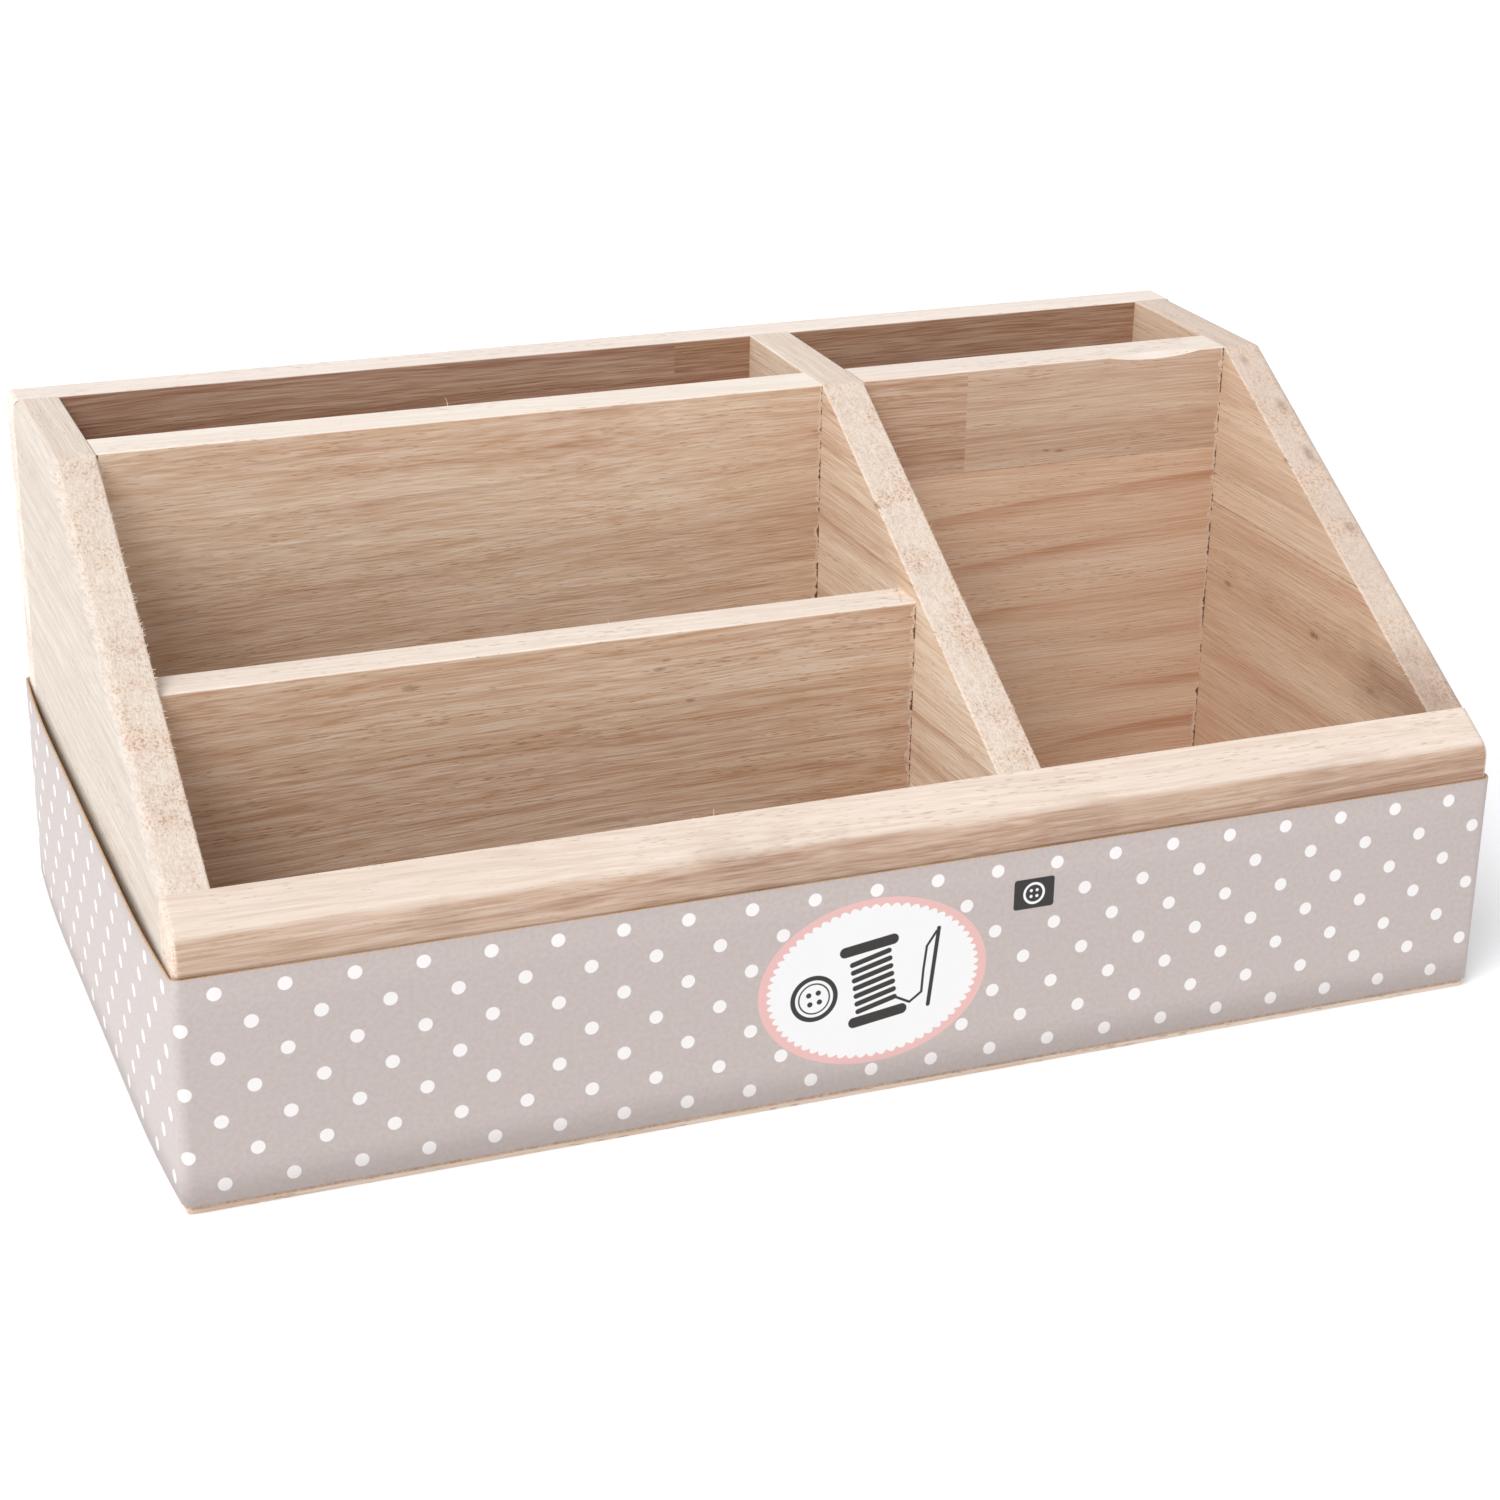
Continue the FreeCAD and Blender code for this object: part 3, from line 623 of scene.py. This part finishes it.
# %% Fold the strip
SLEEVE_LOW, SLEEVE_HIGH = (corner.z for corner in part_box("card_sleeve"))
CARD = 0.5
FOLD = 2.5
SIDE_STEPS, FOLD_STEPS, BOW_STEPS = 12, 6, 4
STRIP_STARTS = 148.0
BOW_RISE, BOW_RUN = 1.3, 40.0
BOW_RADIUS = (BOW_RISE**2 + BOW_RUN**2) / (2 * BOW_RISE)
BOW_TURN = 2 * math.atan(BOW_RISE / BOW_RUN)

strip = bmesh.new()
travelled = strip.verts.layers.float.new("travelled")
corner = (STRIP_STARTS * MM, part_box("card_sleeve")[1].y, SLEEVE_LOW)
foot = bmesh.ops.create_vert(strip, co=corner)["vert"]
rise = bmesh.ops.extrude_vert_indiv(strip, verts=foot)
bmesh.ops.translate(strip, verts=rise["verts"], vec=(0, 0, SLEEVE_HIGH - SLEEVE_LOW))
bmesh.ops.subdivide_edges(strip, edges=rise["edges"], cuts=5)
pen = {"edges": list(strip.edges), "heading": math.pi, "length": 0.0}


def note_length(new_verts, step):
    """Write down how far along the strip the newest edge is."""
    pen["length"] += step
    for vert in new_verts:
        vert[travelled] = pen["length"]


def walk(distance, steps):
    """Carry the strip's last upright edge straight ahead."""
    ahead = Vector((math.cos(pen["heading"]), math.sin(pen["heading"]), 0)) * distance * MM / steps
    for _ in range(steps):
        grown = bmesh.ops.extrude_edge_only(strip, edges=pen["edges"])["geom"]
        new_verts = [item for item in grown if isinstance(item, bmesh.types.BMVert)]
        pen["edges"] = [e for e in grown if isinstance(e, bmesh.types.BMEdge) and
                        all(v in new_verts for v in e.verts)]
        bmesh.ops.translate(strip, verts=new_verts, vec=ahead)
        note_length(new_verts, distance * MM / steps)


def turn_left(radius, angle, steps):
    """Carry the last edge round an upright axis on the left, which makes a fold or a bow."""
    here = pen["edges"][0].verts[0].co
    left = Vector((-math.sin(pen["heading"]), math.cos(pen["heading"]), 0))
    centre = here + left * radius * MM
    for _ in range(steps):
        grown = bmesh.ops.spin(strip, geom=pen["edges"], cent=centre, axis=(0, 0, 1),
                               angle=angle / steps, steps=1, use_merge=False)["geom_last"]
        pen["edges"] = [item for item in grown if isinstance(item, bmesh.types.BMEdge)]
        new_verts = {vert for edge in pen["edges"] for vert in edge.verts}
        note_length(new_verts, radius * MM * angle / steps)
    pen["heading"] += angle


def bowed_end(straight):
    """A fold, a bowed end of the box and the next fold."""
    turn_left(FOLD, math.pi / 2 - BOW_TURN, FOLD_STEPS)
    turn_left(BOW_RADIUS, BOW_TURN, BOW_STEPS)
    walk(straight, BOW_STEPS)
    turn_left(BOW_RADIUS, BOW_TURN, BOW_STEPS)
    turn_left(FOLD, math.pi / 2 - BOW_TURN, FOLD_STEPS)


BACK_LENGTH, FRONT_LENGTH, END_LENGTH = 296.40, 296.81, 87.64
LAPPED = 0.52  # The flap's end is shorter by this, so that the flap lies inside the back.
FLAP = 15.0
walk(BACK_LENGTH, SIDE_STEPS)
bowed_end(END_LENGTH)
front_starts = pen["length"]
walk(FRONT_LENGTH, SIDE_STEPS)
bowed_end(END_LENGTH - LAPPED)
walk(FLAP, 1)
print("strip length in mm:", round(pen["length"] / MM, 1), "faces:", len(strip.faces))

# %% Map the print and give the card its thickness
bmesh.ops.recalc_face_normals(strip, faces=strip.faces)
front_face = min(strip.faces, key=lambda face: face.calc_center_median().y)
if front_face.normal.y > 0:
    bmesh.ops.reverse_faces(strip, faces=strip.faces)
print_map = strip.loops.layers.uv.new("print")
front_middle = front_starts + FRONT_LENGTH * MM / 2
for face in strip.faces:
    face.smooth = True
    for corner in face.loops:
        corner[print_map].uv = (corner.vert[travelled] - front_middle, corner.vert.co.z)
sleeve_mesh = bpy.data.meshes.new("printed_sleeve")
strip.to_mesh(sleeve_mesh)
strip.free()
sleeve = bpy.data.objects.new("printed_sleeve", sleeve_mesh)
scene.collection.objects.link(sleeve)
thickness = sleeve.modifiers.new("card", "SOLIDIFY")
thickness.thickness = CARD * MM
thickness.offset = -1.0
thickness.use_even_offset = True
thickness.material_offset = 1
thickness.material_offset_rim = 2
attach(sleeve, "sleeve")
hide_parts("card_sleeve")
print("sleeve height in mm:", round((SLEEVE_HIGH - SLEEVE_LOW) / MM, 1))


# %% [markdown]
# ## The print
# The card is offset printed: a warm grey ground with white dots, an oval label with a scalloped
# pink border, and a small dark badge. An inked edge is sharp, so each shape is a distance, worked
# out in millimetres on the strip's map and cut off where the ink ends. The label carries a spool,
# a needle and a button, and the badge a button, all in plain outline.

# %% Shapes of ink
def inked(tree, distance, edge):
    """1 where a distance is inside an edge, with a step a tenth of a millimetre wide."""
    return add(tree, "MapRange", distance, edge - 0.06, edge + 0.06, 1.0, 0.0)


def away_from(tree, point, centre):
    """How far a point of the print is from a centre."""
    return add(tree, "VectorMath", point, (*centre, 0.0), operation="DISTANCE").outputs["Value"]


def dots(tree, point, first, pitch, radius):
    """A grid of round dots, of which one is centred at first."""
    moved = add(tree, "VectorMath", point, (*first, 0.0), operation="SUBTRACT")
    half = (pitch[0] / 2, pitch[1] / 2, 1.0)
    folded = add(tree, "VectorMath", moved, half, (-half[0], -half[1], -1.0), operation="WRAP")
    return inked(tree, away_from(tree, folded, (0, 0)), radius)


def stroke(tree, point, start, end, half_width):
    """A straight pen stroke with round ends."""
    start, end = Vector((*start, 0.0)), Vector((*end, 0.0))
    run = end - start
    moved = add(tree, "VectorMath", point, start, operation="SUBTRACT")
    share = add(tree, "VectorMath", moved, run / run.length_squared, operation="DOT_PRODUCT")
    share = add(tree, "Math", share.outputs["Value"], 0.0, operation="ADD", use_clamp=True)
    nearest = add(tree, "VectorMath", run, Scale=share, operation="SCALE")
    gap = add(tree, "VectorMath", moved, nearest, operation="DISTANCE")
    return inked(tree, gap, half_width)


def circle_line(tree, point, centre, radius, half_width):
    """A drawn circle."""
    off = add(tree, "Math", away_from(tree, point, centre), radius, operation="SUBTRACT")
    return inked(tree, add(tree, "Math", off, operation="ABSOLUTE"), half_width)


def together(tree, shapes):
    """Several inked shapes as one."""
    whole = shapes[0]
    for shape in shapes[1:]:
        whole = add(tree, "Math", whole, shape, operation="MAXIMUM")
    return whole


print("ink shapes ready")

# %% Dots, label and badge
DOT_RADIUS = 1.5
DOT_ROWS = ((-1.3, 6.2), (5.75, 13.31))  # One dot of each of the two grids.
COLUMN, ROW = 14.1, 14.22
LABEL = (-1.45, 27.5)
LABEL_HALF = (26.5, 19.5)
SCALLOPS = 62
LABEL_BUTTON = (-13.8, 0.0)
BADGE = (35.8, 42.3)
BADGE_HALF, BADGE_CORNER = (4.8, 3.55), 0.7


def oval_label(tree, point):
    """The label's outside and its white field, whose edge is scalloped."""
    moved = add(tree, "VectorMath", point, (*LABEL, 0.0), operation="SUBTRACT")
    shrink = (1 / LABEL_HALF[0], 1 / LABEL_HALF[1], 0.0)
    unit = add(tree, "VectorMath", moved, shrink, operation="MULTIPLY")
    reach = add(tree, "VectorMath", unit, operation="LENGTH").outputs["Value"]
    parts = add(tree, "SeparateXYZ", unit)
    angle = add(tree, "Math", parts.outputs["Y"], parts.outputs["X"], operation="ARCTAN2")
    lobe = add(tree, "Math", angle, SCALLOPS / 2, operation="MULTIPLY")
    lobe = add(tree, "Math", add(tree, "Math", lobe, operation="SINE"), operation="ABSOLUTE")
    inner = add(tree, "MapRange", lobe, 0.0, 1.0, 0.885, 0.930)
    past = add(tree, "Math", reach, inner, operation="SUBTRACT")
    outside = add(tree, "MapRange", reach, 0.997, 1.003, 1.0, 0.0)
    field = add(tree, "MapRange", past, -0.003, 0.003, 1.0, 0.0)
    return outside, field


def button_holes(tree, point, centre, spread, radius):
    """The four holes of a button."""
    return [inked(tree, away_from(tree, point, (centre[0] + x, centre[1] + y)), radius)
            for x in (-spread, spread) for y in (-spread, spread)]


def sewing_motif(tree, point):
    """A spool of thread with a button on its left and a threaded needle on its right."""
    moved = add(tree, "VectorMath", point, (*LABEL, 0.0), operation="SUBTRACT")
    here = add(tree, "VectorRotate", moved, Angle=math.radians(-8), rotation_type="Z_AXIS")
    shapes = [stroke(tree, here, (-5.6, level), (5.6, level), 1.25) for level in (-8.6, 8.6)]
    shapes += [stroke(tree, here, (-4.3, level - 0.5), (4.3, level + 0.5), 0.62)
               for level in (-5.7, -3.8, -1.9, 0.0, 1.9, 3.8, 5.7)]
    thread = ((4.3, -5.2), (7.6, -7.6), (10.6, -6.0), (11.6, -1.0), (13.0, 4.5), (15.6, 7.4))
    shapes += [stroke(tree, here, start, end, 0.30) for start, end in zip(thread, thread[1:])]
    shapes += [stroke(tree, here, (11.8, -9.5), (16.2, 8.0), 0.48)]
    shapes += [circle_line(tree, here, LABEL_BUTTON, radius, half_width)
               for radius, half_width in ((4.9, 0.55), (3.5, 0.18))]
    return together(tree, shapes + button_holes(tree, here, LABEL_BUTTON, 1.1, 0.62))


def badge_shape(tree, point):
    """A small badge with round corners."""
    moved = add(tree, "VectorMath", point, (*BADGE, 0.0), operation="SUBTRACT")
    folded = add(tree, "VectorMath", moved, operation="ABSOLUTE")
    straight = (BADGE_HALF[0] - BADGE_CORNER, BADGE_HALF[1] - BADGE_CORNER, 0.0)
    past = add(tree, "VectorMath", folded, straight, operation="SUBTRACT")
    outside = add(tree, "VectorMath", past, (0, 0, 0), operation="MAXIMUM")
    return inked(tree, add(tree, "VectorMath", outside, operation="LENGTH"), BADGE_CORNER)


# %% Printed card
def printed_card():
    """Offset-printed grey card with a dull coating."""
    material, tree = new_material("offset_printed_card")
    map_place = add(tree, "UVMap", uv_map="print")
    point = add(tree, "VectorMath", map_place, Scale=1 / MM, operation="SCALE")

    # The paper's own cloudiness, about 1 mm across.
    cloud = add(tree, "TexNoise", Vector=point, Scale=0.9, Detail=3.0)
    cloud = add(tree, "MapRange", cloud, 0.35, 0.65)
    printed = add(tree, "Mix", cloud, paint("#b0a5a0"), paint("#b7aca7"), data_type="RGBA")

    rows = [dots(tree, point, first, (COLUMN, ROW), DOT_RADIUS) for first in DOT_ROWS]
    outside, field = oval_label(tree, point)
    button = [circle_line(tree, point, BADGE, 2.3, 0.28)]
    button += button_holes(tree, point, BADGE, 0.7, 0.36)
    inks = ((together(tree, rows), "#e2dedb"), (outside, "#d8ada8"), (field, "#e2e1df"),
            (sewing_motif(tree, point), "#26221f"), (badge_shape(tree, point), "#262220"),
            (together(tree, button), "#e9e7e5"))
    for shape, colour in inks:
        printed = add(tree, "Mix", shape, printed, paint(colour), data_type="RGBA")

    fibres = add(tree, "TexNoise", Vector=point, Scale=4.0, Detail=2.0)
    bump = add(tree, "Bump", Strength=0.15, Distance=0.03 * MM, Height=fibres)
    sheen = add(tree, "MapRange", fibres, 0.3, 0.7, 0.48, 0.60)
    card = add(tree, "BsdfPrincipled", Base_Color=printed, Roughness=sheen, IOR=1.48, Normal=bump)
    add(tree, "OutputMaterial", Surface=card)
    return material


def bare_card(name, light, dark, pitch):
    """Unprinted grey-brown card: its back, or its cut edge, which shows the pulp."""
    material, tree = new_material(name)
    place = add(tree, "TexCoord").outputs["Object"]
    pulp = add(tree, "TexNoise", Vector=place, Scale=1 / (pitch * MM), Detail=3.0)
    cloud = add(tree, "MapRange", pulp, 0.35, 0.65)
    tone = add(tree, "Mix", cloud, paint(dark), paint(light), data_type="RGBA")
    bump = add(tree, "Bump", Strength=0.2, Distance=0.05 * MM, Height=pulp)
    card = add(tree, "BsdfPrincipled", Base_Color=tone, Roughness=0.85, IOR=1.5, Normal=bump)
    add(tree, "OutputMaterial", Surface=card)
    return material


for layer in (printed_card(), bare_card("uncoated_card_back", "#cdc3b6", "#bdb1a2", 0.8),
              bare_card("cut_card_edge", "#c9a681", "#b08a66", 0.6)):
    sleeve_mesh.materials.append(layer)
print("sleeve materials:", [m.name for m in sleeve_mesh.materials])
